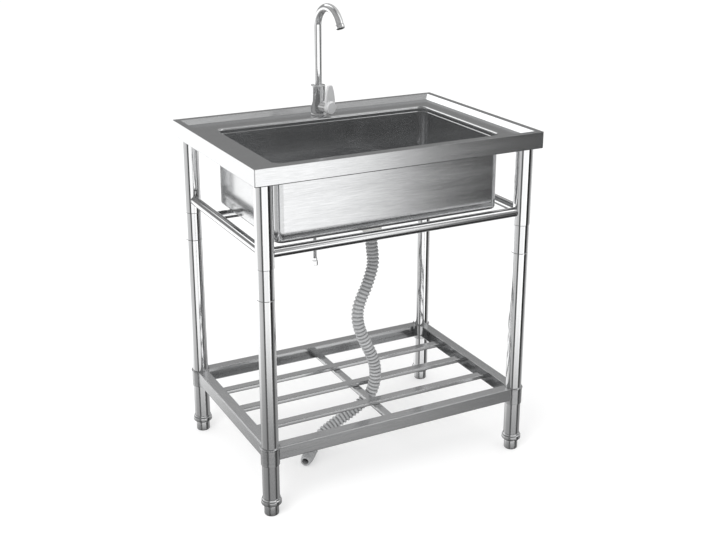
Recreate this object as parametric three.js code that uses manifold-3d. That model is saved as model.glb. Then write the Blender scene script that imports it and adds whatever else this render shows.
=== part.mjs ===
// Free-standing stainless steel utility sink: a pressed deck with a welded bowl on
// four tube legs, a gooseneck tap, a slatted shelf, a strainer and a ribbed drain hose.
// Millimetres, +Z up, +X to the right, front towards -Y, origin on the floor under the middle.
import * as THREE from 'three';
import { mergeVertices } from 'three/addons/utils/BufferGeometryUtils.js';
import Module from 'manifold-3d';

const wasm = await Module();
wasm.setup();

// ---- driving dimensions -------------------------------------------------------------
const gap = 0.3; // clearance kept between touching pieces
const sheet = 1.2; // thickness of the pressed sheet and of the tube walls
const sides = 16; // facets round an upright tube

const width = 700;
const depth = 500;
const height = 800;
const apron = 38; // drop of the front, side and back edges
const apronLip = 8; // fold inwards under the apron
const deckCorner = 3;
const rimWidth = 15;
const slopeWidth = 12;
const ledgeZ = 789; // top of the flat ledge inside the raised rim

// Inner faces of the opening in the deck, which the bowl's walls carry on downwards.
const opening = { x0: -276, x1: 276, y0: -184, y1: 156, corner: 17 };
const mouthBend = 6; // radius of the ledge's edge where it turns down
const collarZ = 778; // lower edge of the turned-down collar
const bowlBottomZ = 612;
const bowlEdgeRadius = 7;
const drainX = 38;
const drainY = -14;
const drainHole = 42;
const drainFlat = 62;
const drainZ = 610.7; // top of the bowl's floor round the strainer

const legX = 320;
const legY = 220;
const legRadius = 19;
const postRadius = 20;
const postFootZ = 580;
const legTopZ = 511;
const legFootZ = 30;
const spigot = 26; // length of the joint sleeve inside the tubes above and below it

const railRadius = 11;
const railZ = 611;
const barRadius = 10;
const barY = 100;
const barZ = 600;

const shelfRailWide = 25;
const shelfRailHigh = 32;
const shelfRailZ = 150; // middle of the shelf rails
const shelfSheet = 1.5;
const slatWide = 22;
const slatHigh = 10;
const slatTopZ = 155;
const slatRows = [-107, 0, 106];
const crossbarWide = 20;
const sleeveBottomZ = 124;
const sleeveTopZ = 166;

const footRadius = 16.4;
const footTopZ = 24;
const stemRadius = 6;

const tapY = 190;
const tapTopZ = 862;
const tapRadius = 18;
const tapSocket = 18; // depth of the socket that the spout turns in
const spoutRadius = 10;
const spoutWall = 1.5;
const spoutBend = 50;
const spoutBendZ = 1001;
const spoutSweep = THREE.MathUtils.degToRad(152);
const spoutTail = 8.5;
const spoutTurn = THREE.MathUtils.degToRad(6); // swing of the spout at rest
const leverZ = 811;
const leverTurn = THREE.MathUtils.degToRad(70); // from straight right towards the front

const hoseCrest = 15;
const hoseValley = 12;
const hoseBore = 10.4;
const ribPitch = 9.4;

// Middle line of the drain hose, from the nut under the strainer to its end piece.
const drainRoute = [
  [38, -14, 544.7], [38, -14, 528], [39, -14.5, 508], [41.5, -15, 484], [40.5, -17, 460],
  [32, -20, 435], [19, -24, 408], [6, -27, 386], [-3.5, -29, 364], [-7.5, -31, 342],
  [-5.5, -33, 318], [4, -35, 288], [17, -36, 259], [28, -37, 234], [35.5, -38, 208],
  [37.5, -38, 181], [35, -36, 155], [26, -31, 127], [6, -22, 102], [-24, -16, 80.5],
  [-60, -14, 62.5], [-92, -17, 47], [-117, -26, 32], [-135, -37.5, 20], [-147, -49, 16],
  [-157, -60.5, 16],
];

// Middle line of the water supply hose, from the tap's shank to its end nut.
const supplyRoute = [
  [-4, 190, 744.5], [-4, 190, 734], [-5, 190, 700], [-7.5, 190, 650], [-10, 190, 600],
  [-12, 190, 550], [-13.5, 190, 500], [-14, 190, 450], [-14, 190, 421],
];

const corners = [
  { name: 'front_left', sx: -1, sy: -1 },
  { name: 'front_right', sx: 1, sy: -1 },
  { name: 'back_left', sx: -1, sy: 1 },
  { name: 'back_right', sx: 1, sy: 1 },
];

// ---- finishes -----------------------------------------------------------------------
const finishes = {
  brushed: { color: 0xb9bcc0, roughness: 0.35, metalness: 1 },
  polished: { color: 0xd9dbde, roughness: 0.12, metalness: 1 },
  satin: { color: 0x9fa2a6, roughness: 0.42, metalness: 1 },
  chrome: { color: 0xe4e6e8, roughness: 0.06, metalness: 1 },
  greyPlastic: { color: 0xa6a8aa, roughness: 0.55, metalness: 0 },
  whitePlastic: { color: 0xdcdcd8, roughness: 0.5, metalness: 0 },
  rubber: { color: 0x232425, roughness: 0.8, metalness: 0 },
  braid: { color: 0xb4b7ba, roughness: 0.45, metalness: 0.8 },
};

const unit = new THREE.Group();

function place(name, geometry, finish, x = 0, y = 0, z = 0) {
  const mesh = new THREE.Mesh(geometry, new THREE.MeshStandardMaterial(finishes[finish]));
  mesh.name = name;
  mesh.position.set(x, y, z);
  unit.add(mesh);
  return mesh;
}

// ---- shape helpers ------------------------------------------------------------------
function joined(geometry) {
  const plain = geometry.clone();
  plain.deleteAttribute('normal');
  plain.deleteAttribute('uv');
  return mergeVertices(plain, 1e-3);
}

function solidOf(geometry) {
  const plain = joined(geometry);
  const mesh = new wasm.Mesh({
    numProp: 3,
    vertProperties: Float32Array.from(plain.attributes.position.array),
    triVerts: Uint32Array.from(plain.index.array),
  });
  return new wasm.Manifold(mesh);
}

function geometryOf(solid) {
  const mesh = solid.getMesh();
  const geometry = new THREE.BufferGeometry();
  geometry.setAttribute('position', new THREE.BufferAttribute(mesh.vertProperties, 3));
  geometry.setIndex(new THREE.BufferAttribute(mesh.triVerts, 1));
  geometry.computeVertexNormals();
  return geometry;
}

// A closed outline [radius, height], listed anticlockwise, turned about the Z axis.
function turned(outline, facets = sides) {
  const points = outline.map(([r, z]) => new THREE.Vector2(r, z));
  const first = points[0];
  const last = points[points.length - 1];
  if (first.x > 0 || last.x > 0) points.push(first.clone());
  const geometry = joined(new THREE.LatheGeometry(points, facets));
  geometry.rotateX(Math.PI / 2);
  return geometry;
}

function tube(outer, inner, z0, z1, facets = sides) {
  return turned([[inner, z0], [outer, z0], [outer, z1], [inner, z1]], facets);
}

// Skins a row of rings that hold the same number of points; the last ring meets the first.
function skinned(rings) {
  const count = rings[0].length;
  const index = [];
  rings.forEach((ring, row) => {
    const next = (row + 1) % rings.length;
    for (let i = 0; i < count; i += 1) {
      const j = (i + 1) % count;
      const a = row * count + i;
      const b = row * count + j;
      const c = next * count + j;
      const d = next * count + i;
      index.push(a, b, c, a, c, d);
    }
  });
  const geometry = new THREE.BufferGeometry().setFromPoints(rings.flat());
  geometry.setIndex(index);
  return geometry;
}

const cornerSteps = 6;

// A rectangle with rounded corners, as a ring of points.
function rectangleRing(box, grow, corner, z) {
  const radius = Math.max(corner + grow, 0.4);
  const middles = [
    [box.x1 + grow - radius, box.y0 - grow + radius],
    [box.x1 + grow - radius, box.y1 + grow - radius],
    [box.x0 - grow + radius, box.y1 + grow - radius],
    [box.x0 - grow + radius, box.y0 - grow + radius],
  ];
  return middles.flatMap(([x, y], quarter) => (
    Array.from({ length: cornerSteps }, (_, step) => {
      const angle = (quarter - 1 + step / (cornerSteps - 1)) * Math.PI / 2;
      return new THREE.Vector3(x + radius * Math.cos(angle), y + radius * Math.sin(angle), z);
    })
  ));
}

function circleRing(x, y, radius, z) {
  return Array.from({ length: 4 * cornerSteps }, (_, step) => {
    const angle = ((step + 0.5) / cornerSteps - 1) * Math.PI / 2;
    return new THREE.Vector3(x + radius * Math.cos(angle), y + radius * Math.sin(angle), z);
  });
}

// A ribbed pipe of rings along a curve: outer rings forwards, then bore rings backwards,
// close enough together that the bore stays inside the wall in the bends.
function ribbedPipe(curve, ribs, facets) {
  const steps = ribs * 2;
  const points = curve.getSpacedPoints(steps);
  const frames = curve.computeFrenetFrames(steps, false);
  const ringAt = (step, radius) => (
    Array.from({ length: facets }, (_, i) => {
      const angle = (i / facets) * Math.PI * 2;
      return points[step].clone()
        .addScaledVector(frames.normals[step], radius * Math.cos(angle))
        .addScaledVector(frames.binormals[step], radius * Math.sin(angle));
    })
  );
  const outer = points.map((_, step) => ringAt(step, step % 2 ? hoseCrest : hoseValley));
  const inner = [];
  for (let step = steps; step >= 0; step -= 4) inner.push(ringAt(step, hoseBore));
  return skinned([...outer, ...inner]);
}

// A round bar or tube swept along a curve.
function swept(curve, radius, bore, steps, facets) {
  const section = new THREE.Shape().absarc(0, 0, radius, 0, Math.PI * 2);
  if (bore > 0) section.holes.push(new THREE.Path().absarc(0, 0, bore, 0, Math.PI * 2));
  const geometry = new THREE.ExtrudeGeometry(section, {
    extrudePath: curve, steps, curveSegments: facets / 2, bevelEnabled: false,
  });
  return joined(geometry);
}

function extruded(outline, length, hole) {
  const shape = new THREE.Shape(outline.map(([x, y]) => new THREE.Vector2(x, y)));
  if (hole) shape.holes.push(new THREE.Path(hole.map(([x, y]) => new THREE.Vector2(x, y))));
  const geometry = new THREE.ExtrudeGeometry(shape, { depth: length, bevelEnabled: false });
  geometry.translate(0, 0, -length / 2);
  return geometry;
}

// Outline of a rectangle with its four corners cut off at 45 degrees.
function chamfered(wide, high, cut) {
  const x = wide / 2;
  const y = high / 2;
  return [
    [-x + cut, -y], [x - cut, -y], [x, -y + cut], [x, y - cut],
    [x - cut, y], [-x + cut, y], [-x, y - cut], [-x, -y + cut],
  ];
}

// Takes upright cylinders out of a geometry, so that its ends fit round the posts.
function notched(geometry, radius, spots) {
  let solid = solidOf(geometry);
  for (const [x, y] of spots) {
    const cutter = new THREE.CylinderGeometry(radius, radius, 1600, sides);
    cutter.rotateX(Math.PI / 2);
    cutter.translate(x, y, 0);
    solid = solid.subtract(solidOf(cutter));
  }
  return geometryOf(solid);
}

// ---- deck and bowl ------------------------------------------------------------------
// One sheet: folded lip, apron, flat rim, slope, ledge, and a bend down into the opening.
function makeDeck() {
  const plan = { x0: -width / 2, x1: width / 2, y0: -depth / 2, y1: depth / 2 };
  const edge = (inset, z) => rectangleRing(plan, -inset, deckCorner, z);
  const mouth = (grow, z) => rectangleRing(opening, grow, opening.corner, z);
  const apronZ = height - apron;
  const bend = 2;
  const slopeFoot = rimWidth + slopeWidth;
  const bendMiddleZ = ledgeZ - mouthBend;
  const bendSteps = 3;
  const upper = [];
  const lower = [];
  for (let step = 0; step <= bendSteps; step += 1) {
    const angle = (step / bendSteps) * Math.PI / 2;
    const inner = mouthBend - sheet;
    upper.push(mouth(mouthBend * (1 - Math.sin(angle)), bendMiddleZ + mouthBend * Math.cos(angle)));
    lower.unshift(mouth(mouthBend - inner * Math.sin(angle), bendMiddleZ + inner * Math.cos(angle)));
  }
  const rings = [
    edge(0, apronZ),
    edge(0, height - bend),
    edge(bend * 0.3, height - bend * 0.3),
    edge(bend, height),
    edge(rimWidth - 1, height),
    edge(rimWidth + 1, height - 0.8),
    edge(slopeFoot - 1, ledgeZ + 0.8),
    edge(slopeFoot + 1, ledgeZ),
    ...upper,
    mouth(0, collarZ),
    mouth(sheet, collarZ),
    ...lower,
    edge(slopeFoot + 0.6, ledgeZ - sheet),
    edge(rimWidth + 0.6, height - sheet),
    edge(bend + 0.5, height - sheet),
    edge(sheet, height - bend - 0.5),
    edge(sheet, apronZ + sheet),
    edge(apronLip, apronZ + sheet),
    edge(apronLip, apronZ),
  ];
  const tapHole = new THREE.CylinderGeometry(16, 16, 20, sides);
  tapHole.rotateX(Math.PI / 2);
  tapHole.translate(0, tapY, ledgeZ);
  return geometryOf(solidOf(skinned(rings)).subtract(solidOf(tapHole)));
}

// One sheet: an upper edge that laps the deck's collar, walls, a rounded bottom edge and a
// floor that falls to the round drain hole.
function makeBowl() {
  const lapTopZ = ledgeZ - mouthBend + 0.4;
  const wall = (grow, z) => rectangleRing(opening, grow, opening.corner, z);
  const lap = sheet + gap;
  const jogZ = collarZ - gap;
  const bendZ = bowlBottomZ + bowlEdgeRadius;
  const bendSteps = 4;
  const inside = [];
  const outside = [];
  for (let step = 0; step <= bendSteps; step += 1) {
    const angle = (step / bendSteps) * Math.PI / 2;
    const inner = bowlEdgeRadius - sheet;
    const turn = 1 - Math.cos(angle);
    inside.push(wall(-inner * turn, bendZ - inner * Math.sin(angle)));
    outside.unshift(wall(sheet - bowlEdgeRadius * turn, bendZ - bowlEdgeRadius * Math.sin(angle)));
  }
  return skinned([
    wall(sheet, jogZ - 3),
    wall(lap + sheet, jogZ - 1),
    wall(lap + sheet, lapTopZ),
    wall(lap, lapTopZ),
    wall(lap, jogZ),
    wall(0, jogZ - 2),
    ...inside,
    circleRing(drainX, drainY, drainFlat, drainZ),
    circleRing(drainX, drainY, drainHole, drainZ),
    circleRing(drainX, drainY, drainHole, drainZ - sheet),
    circleRing(drainX, drainY, drainFlat, drainZ - sheet),
    ...outside,
  ]);
}

// ---- strainer and drain -------------------------------------------------------------
const cupBottomZ = 577;
const basketZ = 587;

function makeStrainer() {
  place('strainer_flange', turned([
    [19, cupBottomZ], [40, cupBottomZ], [40, drainZ + gap], [55, drainZ + gap], [55, 611.8],
    [52, 613], [45.5, 613.2], [44, 611.9], [38.5, 611.9], [38.5, cupBottomZ + 1.5],
    [19, cupBottomZ + 1.5],
  ], 24), 'polished', drainX, drainY);

  const floorUnder = drainZ - sheet - gap;
  place('strainer_gasket', tube(56, drainHole, floorUnder - 3, floorUnder, 24), 'rubber',
    drainX, drainY);

  const nutTop = floorUnder - 3 - gap;
  let nut = solidOf(turned([[40.4, nutTop - 11], [53, nutTop - 11], [58, nutTop - 4],
    [58, nutTop], [40.4, nutTop]], 24));
  const lugs = 6;
  for (let i = 0; i < lugs; i += 1) {
    const lug = new THREE.BoxGeometry(8, 10, 7);
    lug.translate(57, 0, nutTop - 5);
    lug.rotateZ((i / lugs) * Math.PI * 2);
    nut = nut.add(solidOf(lug));
  }
  place('strainer_locknut', geometryOf(nut), 'whitePlastic', drainX, drainY);

  place('strainer_tail', turned([
    [15, 548], [18.5, 548], [18.5, 564], [31, 571], [31, cupBottomZ - gap],
    [20, cupBottomZ - gap], [15, 571],
  ], 24), 'whitePlastic', drainX, drainY);

  place('hose_nut', turned([
    [10.6, 545], [21, 545], [24.5, 547], [24.5, 560], [22.5, 561.5], [18.9, 561.5],
    [18.9, 547.7], [10.6, 547.7],
  ], 24), 'whitePlastic', drainX, drainY);
}

// The lift-out basket: a rimmed cup with slots in its floor and wall, and a pull knob.
function makeBasket() {
  const cup = turned([
    [0, basketZ], [34, basketZ], [37.3, basketZ + 3], [37.3, 612.2], [43.2, 612.2],
    [43.2, 613.2], [41.5, 613.8], [36.1, 613.2], [36.1, basketZ + 3.6], [33.5, basketZ + 1.2],
    [0, basketZ + 1.2],
  ], 24);
  let basket = solidOf(cup);
  const slots = 12;
  for (let i = 0; i < slots; i += 1) {
    const floorSlot = new THREE.BoxGeometry(16, 3, 6);
    floorSlot.translate(21, 0, basketZ);
    floorSlot.rotateZ((i / slots) * Math.PI * 2);
    const wallSlot = new THREE.BoxGeometry(8, 3, 12);
    wallSlot.translate(37, 0, basketZ + 13);
    wallSlot.rotateZ(((i + 0.5) / slots) * Math.PI * 2);
    basket = basket.subtract(solidOf(floorSlot)).subtract(solidOf(wallSlot));
  }
  place('strainer_basket', geometryOf(basket), 'polished', drainX, drainY);

  const knobFoot = basketZ + 1.2 + gap;
  const knob = turned([
    [0, knobFoot], [4, knobFoot], [4, 605], [8, 606.5], [8, 609], [6, 610.5], [0, 610.5],
  ], 16);
  place('basket_knob', knob, 'polished', drainX, drainY);
}

function makeDrainHose() {
  const curve = new THREE.CatmullRomCurve3(drainRoute.map((p) => new THREE.Vector3(...p)));
  const ribs = Math.round(curve.getLength() / ribPitch / 2) * 2;
  place('drain_hose', ribbedPipe(curve, ribs, 8), 'greyPlastic');

  const end = turned([
    [9, gap], [14, gap], [14.4, 1.5], [14.4, 8], [13, 10], [12.4, 20], [10, 23.5], [8, 24],
    [8, 4], [9, 4],
  ], 16);
  const mesh = place('hose_end', end, 'greyPlastic', ...curve.getPointAt(1).toArray());
  mesh.quaternion.setFromUnitVectors(new THREE.Vector3(0, 0, 1), curve.getTangentAt(1));
}

// ---- tap ----------------------------------------------------------------------------
// Middle line of the spout: straight up, round a bend, and a short tail.
class Gooseneck extends THREE.Curve {
  constructor(startZ) {
    super();
    this.startZ = startZ;
    this.rise = spoutBendZ - startZ;
    this.arc = spoutBend * spoutSweep;
    this.run = this.rise + this.arc + spoutTail;
  }

  getPoint(t, target = new THREE.Vector3()) {
    const gone = t * this.run;
    const turn = THREE.MathUtils.clamp((gone - this.rise) / this.arc, 0, 1) * spoutSweep;
    const tail = Math.max(gone - this.rise - this.arc, 0);
    const reach = spoutBend * (1 - Math.cos(turn)) + tail * Math.sin(turn);
    const up = this.startZ + Math.min(gone, this.rise) + spoutBend * Math.sin(turn)
      + tail * Math.cos(turn);
    return target.set(reach * Math.sin(spoutTurn), -reach * Math.cos(spoutTurn), up);
  }
}

function makeTap() {
  const seatZ = ledgeZ + gap;
  const bodyZ = seatZ + 4 + gap;
  const socketZ = tapTopZ - tapSocket;
  place('faucet_base_ring', turned([
    [14.6, seatZ], [20, seatZ], [20, seatZ + 2.5], [19, seatZ + 4], [14.6, seatZ + 4],
  ], 24), 'chrome', 0, tapY);

  place('faucet_body', turned([
    [0, bodyZ], [17, bodyZ], [tapRadius, bodyZ + 1.5], [tapRadius, tapTopZ - 1.5],
    [tapRadius - 1.2, tapTopZ], [15.4, tapTopZ], [14.4, tapTopZ - 3], [10.5, tapTopZ - 3],
    [10.5, socketZ], [0, socketZ],
  ], 24), 'chrome', 0, tapY);

  const neck = new Gooseneck(socketZ + gap);
  place('spout', swept(neck, spoutRadius, spoutRadius - spoutWall, 24, 14), 'chrome', 0, tapY);

  const aerator = turned([
    [6, gap], [10, gap], [10.8, 1.6], [10.8, 8], [9.8, 9.5], [8, 9.5], [8, 4], [6, 4],
  ], 16);
  const tip = place('aerator', aerator, 'chrome', ...neck.getPoint(1).toArray());
  tip.position.y += tapY;
  tip.quaternion.setFromUnitVectors(new THREE.Vector3(0, 0, 1), neck.getTangentAt(1));

  const bonnet = turned([[0, 10], [13.4, 10], [13.4, 32.5], [12.6, 33.7], [0, 33.7]], 24);
  bonnet.rotateY(Math.PI / 2);
  bonnet.rotateZ(-leverTurn);
  const bodyRoom = new THREE.CylinderGeometry(tapRadius + gap, tapRadius + gap, 80, 24);
  bodyRoom.rotateX(Math.PI / 2);
  place('valve_bonnet', geometryOf(solidOf(bonnet).subtract(solidOf(bodyRoom))), 'chrome',
    0, tapY, leverZ);
  makeLever();
  makeTapFixing();
}

// The lever: a flat-faced hub in front and to the right of the body, with a tapering blade
// above it.
function makeLever() {
  const hub = turned([
    [0, 34], [14.2, 34], [15.5, 35.2], [15.5, 44.6], [14.4, 46.2], [12, 46.8], [0, 47],
  ], 24);
  hub.rotateY(Math.PI / 2);
  const blade = new THREE.Shape();
  blade.moveTo(-13.2, 2);
  blade.lineTo(13.2, 2);
  blade.lineTo(14.2, 18);
  blade.lineTo(11, 38);
  blade.lineTo(7, 50);
  blade.quadraticCurveTo(6, 53, 3, 53);
  blade.lineTo(-3, 53);
  blade.quadraticCurveTo(-6, 53, -7, 50);
  blade.lineTo(-11, 38);
  blade.lineTo(-14.2, 18);
  const plate = new THREE.ExtrudeGeometry(blade, {
    depth: 4.6, curveSegments: 3, bevelThickness: 1.2, bevelSize: 1.2, bevelSegments: 1,
  });
  plate.rotateX(Math.PI / 2);
  plate.rotateZ(Math.PI / 2);
  plate.translate(36.7, 0, 0);
  const lever = geometryOf(solidOf(hub).add(solidOf(plate)));
  lever.rotateZ(-leverTurn);
  place('lever', lever, 'satin', 0, tapY, leverZ);
}

function makeTapFixing() {
  const under = ledgeZ - sheet - gap;
  const shankTopZ = ledgeZ + gap + 4;
  place('faucet_shank', tube(14, 10, 742, shankTopZ, 20), 'chrome', 0, tapY);
  place('shank_washer', tube(21.5, 14.4, under - 3.5, under, 20), 'rubber', 0, tapY);
  const nut = solidOf(new THREE.CylinderGeometry(21, 21, 11, 6));
  const hole = solidOf(new THREE.CylinderGeometry(14.4, 14.4, 20, 20));
  const nutShape = geometryOf(nut.subtract(hole));
  nutShape.rotateX(Math.PI / 2);
  place('shank_nut', nutShape, 'chrome', 0, tapY, under - 3.5 - gap - 5.5);

  const curve = new THREE.CatmullRomCurve3(supplyRoute.map((p) => new THREE.Vector3(...p)));
  place('supply_hose', swept(curve, 4.3, 0, 20, 8), 'braid');
  const endNut = turned([
    [3.2, 0], [6.9, 0], [7.4, 0.8], [7.4, 13], [5.6, 14.5], [5.6, 20.7], [3.2, 20.7],
  ], 6);
  place('supply_nut', endNut, 'chrome', ...supplyRoute[supplyRoute.length - 1].slice(0, 2), 400);
}

// ---- upper frame --------------------------------------------------------------------
function makeUpperFrame() {
  const postTopZ = ledgeZ - sheet - gap;
  for (const { name, sx, sy } of corners) {
    place(`upper_post_${name}`, tube(postRadius, postRadius - sheet, postFootZ, postTopZ),
      'polished', sx * legX, sy * legY);
  }

  const room = postRadius + gap;
  const sideRail = tube(railRadius, railRadius - sheet, -legY, legY, 16);
  sideRail.rotateX(Math.PI / 2);
  const sideShape = notched(sideRail, room, [[0, -legY], [0, legY]]);
  place('left_rail', sideShape.clone(), 'polished', -legX, 0, railZ);
  place('right_rail', sideShape.clone(), 'polished', legX, 0, railZ);

  const frontRail = tube(railRadius, railRadius - sheet, -legX, legX, 16);
  frontRail.rotateY(Math.PI / 2);
  place('front_rail', notched(frontRail, room, [[-legX, 0], [legX, 0]]), 'polished',
    0, -legY, railZ);

  const bar = tube(barRadius, barRadius - sheet, -legX, legX, 14);
  bar.rotateY(Math.PI / 2);
  let cutBar = solidOf(bar);
  for (const side of [-1, 1]) {
    const railRoom = new THREE.CylinderGeometry(railRadius + gap, railRadius + gap, 80, 16);
    railRoom.translate(side * legX, 0, railZ - barZ);
    cutBar = cutBar.subtract(solidOf(railRoom));
  }
  place('bowl_support_bar', geometryOf(cutBar), 'polished', 0, barY, barZ);
}

// ---- legs and feet ------------------------------------------------------------------
function makeLegs() {
  const bore = 15.5;
  const inPost = postRadius - sheet - gap;
  const inLeg = legRadius - sheet - gap;
  const jointRadius = 18.8;
  const joint = [
    [bore, legTopZ - spigot], [inLeg, legTopZ - spigot], [inLeg, legTopZ + gap],
    [jointRadius, legTopZ + gap], [jointRadius, postFootZ - gap], [inPost, postFootZ - gap],
    [inPost, postFootZ + spigot], [bore, postFootZ + spigot],
  ];
  const stemRoom = stemRadius + 0.5;
  const collar = [
    [stemRoom, footTopZ + gap], [17.4, footTopZ + gap], [22.4, 27.6], [23, 28.5], [23, 36],
    [22, 38.5], [20.4, 42], [legRadius + gap, 42], [legRadius + gap, legFootZ - gap],
    [inLeg, legFootZ - gap], [inLeg, 60], [stemRoom, 60],
  ];
  const foot = [
    [0, 0], [14, 0], [footRadius, 2.5], [footRadius, footTopZ - 1.5], [footRadius - 1.5, footTopZ],
    [stemRadius, footTopZ], [stemRadius, 72], [0, 72],
  ];
  for (const { name, sx, sy } of corners) {
    const at = [sx * legX, sy * legY];
    place(`leg_joint_${name}`, turned(joint), 'polished', ...at);
    place(`leg_${name}`, tube(legRadius, legRadius - sheet, legFootZ, legTopZ), 'polished', ...at);
    place(`foot_collar_${name}`, turned(collar), 'satin', ...at);
    place(`foot_${name}`, turned(foot), 'satin', ...at);
  }
}

// ---- shelf --------------------------------------------------------------------------
// A channel along the Z axis: its web on the -X side, its two flanges reaching to +X.
function channel(wide, high, length) {
  const x = wide / 2;
  const y = high / 2;
  return extruded([
    [-x, -y], [x, -y], [x, -y + shelfSheet], [-x + shelfSheet, -y + shelfSheet],
    [-x + shelfSheet, y - shelfSheet], [x, y - shelfSheet], [x, y], [-x, y],
  ], length);
}

function makeShelf() {
  const bore = legRadius + gap;
  const lipZ = sleeveTopZ - 3;
  const sleeveRadius = 21;
  const sleeve = [
    [bore, sleeveBottomZ], [sleeveRadius, sleeveBottomZ], [sleeveRadius, lipZ],
    [sleeveRadius + 1.4, lipZ + 0.6], [sleeveRadius + 1.4, sleeveTopZ - 0.8],
    [sleeveRadius + 0.6, sleeveTopZ], [bore, sleeveTopZ],
  ];
  for (const { name, sx, sy } of corners) {
    place(`shelf_sleeve_${name}`, turned(sleeve), 'satin', sx * legX, sy * legY);
  }

  const room = sleeveRadius + 1.4 + gap;
  const alongY = channel(shelfRailWide, shelfRailHigh, 2 * legY);
  alongY.rotateX(Math.PI / 2);
  const left = notched(alongY, room, [[0, -legY], [0, legY]]);
  const right = left.clone().rotateZ(Math.PI);
  place('shelf_rail_left', left, 'satin', -legX, 0, shelfRailZ);
  place('shelf_rail_right', right, 'satin', legX, 0, shelfRailZ);

  const alongX = channel(shelfRailWide, shelfRailHigh, 2 * legX);
  alongX.rotateX(Math.PI / 2);
  alongX.rotateZ(Math.PI / 2);
  const front = notched(alongX, room, [[-legX, 0], [legX, 0]]);
  const back = front.clone().rotateZ(Math.PI);
  place('shelf_rail_front', front, 'satin', 0, -legY, shelfRailZ);
  place('shelf_rail_back', back, 'satin', 0, legY, shelfRailZ);

  const webInset = shelfRailWide / 2 - shelfSheet - gap;
  const wall = 1.2;
  const slatOutline = chamfered(slatHigh, slatWide, 1.5);
  const slatBore = chamfered(slatHigh - 2 * wall, slatWide - 2 * wall, 1);
  slatRows.forEach((y, row) => {
    const slat = extruded(slatOutline, 2 * (legX + webInset), slatBore);
    slat.rotateY(Math.PI / 2);
    place(`shelf_slat_${row + 1}`, slat, 'satin', 0, y, slatTopZ - slatHigh / 2);
  });
  const crossOutline = chamfered(crossbarWide, 8.6, 1.5);
  const crossBore = chamfered(crossbarWide - 2 * wall, 8.6 - 2 * wall, 1);
  const crossbar = extruded(crossOutline, 2 * (legY + webInset), crossBore);
  crossbar.rotateX(Math.PI / 2);
  place('shelf_crossbar', crossbar, 'satin', 0, 0, slatTopZ - slatHigh - gap - 4.3);
}

place('sink_deck', makeDeck(), 'brushed');
place('sink_bowl', makeBowl(), 'brushed');
makeStrainer();
makeBasket();
makeDrainHose();
makeTap();
makeUpperFrame();
makeLegs();
makeShelf();

export default unit;
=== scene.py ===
import math

import bmesh
import bpy
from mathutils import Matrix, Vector


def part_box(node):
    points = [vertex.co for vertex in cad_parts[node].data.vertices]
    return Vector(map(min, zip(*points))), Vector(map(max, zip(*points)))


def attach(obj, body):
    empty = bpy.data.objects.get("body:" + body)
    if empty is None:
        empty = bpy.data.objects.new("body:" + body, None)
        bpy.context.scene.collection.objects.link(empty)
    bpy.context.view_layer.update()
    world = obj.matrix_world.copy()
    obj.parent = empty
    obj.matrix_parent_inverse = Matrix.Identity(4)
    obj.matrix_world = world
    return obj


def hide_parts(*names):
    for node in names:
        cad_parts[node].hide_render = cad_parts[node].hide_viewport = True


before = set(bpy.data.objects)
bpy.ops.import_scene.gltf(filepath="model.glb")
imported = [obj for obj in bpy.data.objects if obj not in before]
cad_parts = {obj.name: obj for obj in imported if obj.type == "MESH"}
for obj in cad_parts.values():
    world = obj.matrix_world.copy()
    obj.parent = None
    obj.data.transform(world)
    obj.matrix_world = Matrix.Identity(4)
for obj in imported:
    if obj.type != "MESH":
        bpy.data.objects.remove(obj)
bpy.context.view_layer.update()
mm = 0.001
near = 0.01 * mm  # how far a point may lie from the place that a test looks for
cornerNames = ("front_left", "front_right", "back_left", "back_right")
print("frame loaded")


# camera: standing height, off the sink's front left corner
cameraSpot = {
    "place": (-1.152, -2.236, 1.387),
    "azimuth": -27.46,
    "elevation": 18.22,
    "lens": 56.5,
    "shift": -0.062,
}


def makeCamera(form):
    turn = math.radians(form["azimuth"])
    tilt = math.radians(form["elevation"])
    back = Vector((math.sin(turn) * math.cos(tilt), -math.cos(turn) * math.cos(tilt), math.sin(tilt)))
    data = bpy.data.cameras.new("photoCamera")
    data.lens = form["lens"]
    data.shift_y = form["shift"]
    camera = bpy.data.objects.new("photoCamera", data)
    camera.location = form["place"]
    camera.rotation_euler = back.to_track_quat("Z", "Y").to_euler()
    bpy.context.collection.objects.link(camera)
    bpy.context.scene.camera = camera


makeCamera(cameraSpot)


# modelling steps that several pieces share
def clearSelection():
    if bpy.context.mode != "OBJECT":
        bpy.ops.object.mode_set(mode="OBJECT")
    bpy.ops.object.select_all(action="DESELECT")


def makeActive(piece):  # leaves edit mode first
    clearSelection()
    bpy.context.view_layer.objects.active = piece
    piece.select_set(True)


def openForEditing(name):  # names the primitive that was just added
    piece = bpy.context.active_object
    piece.name = name
    piece.data.name = name
    bpy.ops.object.transform_apply(location=True, rotation=True, scale=True)
    bpy.ops.object.mode_set(mode="EDIT")
    return piece


def reopenForEditing(piece):
    makeActive(piece)
    bpy.ops.object.mode_set(mode="EDIT")


def cleanMesh():  # in edit mode: no doubles, and all faces outwards
    bpy.ops.mesh.select_all(action="SELECT")
    bpy.ops.mesh.remove_doubles(threshold=near)
    bpy.ops.mesh.normals_make_consistent(inside=False)


def pick(piece, kind, isWanted):  # asks about each vertex, edge or face
    bpy.ops.mesh.select_mode(type=kind)
    bpy.ops.mesh.select_all(action="DESELECT")
    mesh = bmesh.from_edit_mesh(piece.data)
    for part in {"VERT": mesh.verts, "EDGE": mesh.edges, "FACE": mesh.faces}[kind]:
        if isWanted(part):
            part.select_set(True)
    bmesh.update_edit_mesh(piece.data)


def pickByPlace(piece, kind, isThere):  # edges or faces with every corner where the test says
    pick(piece, kind, lambda part: all(isThere(corner.co) for corner in part.verts))


def pushFaces(move):  # a lone vertex too
    bpy.ops.mesh.extrude_region_move(TRANSFORM_OT_translate={"value": tuple(move)})


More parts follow.
